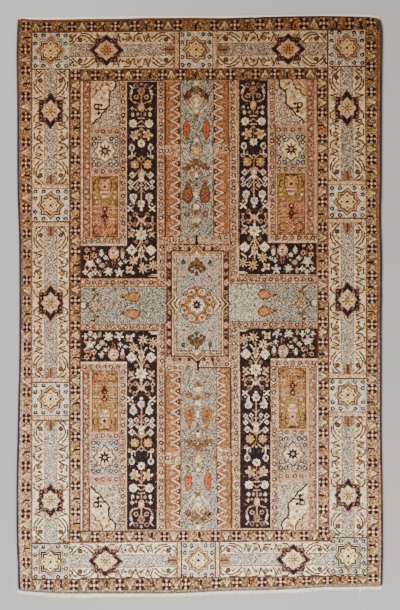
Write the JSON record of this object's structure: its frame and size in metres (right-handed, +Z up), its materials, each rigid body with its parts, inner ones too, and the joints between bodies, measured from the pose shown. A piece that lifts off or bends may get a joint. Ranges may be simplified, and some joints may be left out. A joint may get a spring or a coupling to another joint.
{
  "type": "persian rug",
  "caption": "Flat rectangular hand-knotted garden-design rug with overcast side cords and flat-woven cotton ends in short cut fringe.",
  "frame": {"origin": "middle of the whole rug's box, on the floor that it lies on", "axes": "+X across the rug to the picture's right, +Y along it to the picture's top, +Z up out of the pile"},
  "size_m": [1.3894, 2.217, 0.0076],
  "materials": {
    "wool_pile": "short clipped wool pile, matt, with a soft sheen along the lie of the pile",
    "wool_binding": "dark wool yarn wound tightly over the edge warps",
    "cotton_warp": "plain ecru cotton, flat woven, with cut ends"
  },
  "bodies": {
    "root": {"rug_pile": "wool_pile", "selvedge_left": "wool_binding", "selvedge_right": "wool_binding", "end_web_top": "cotton_warp", "end_web_bottom": "cotton_warp"}
  },
  "joints": []
}
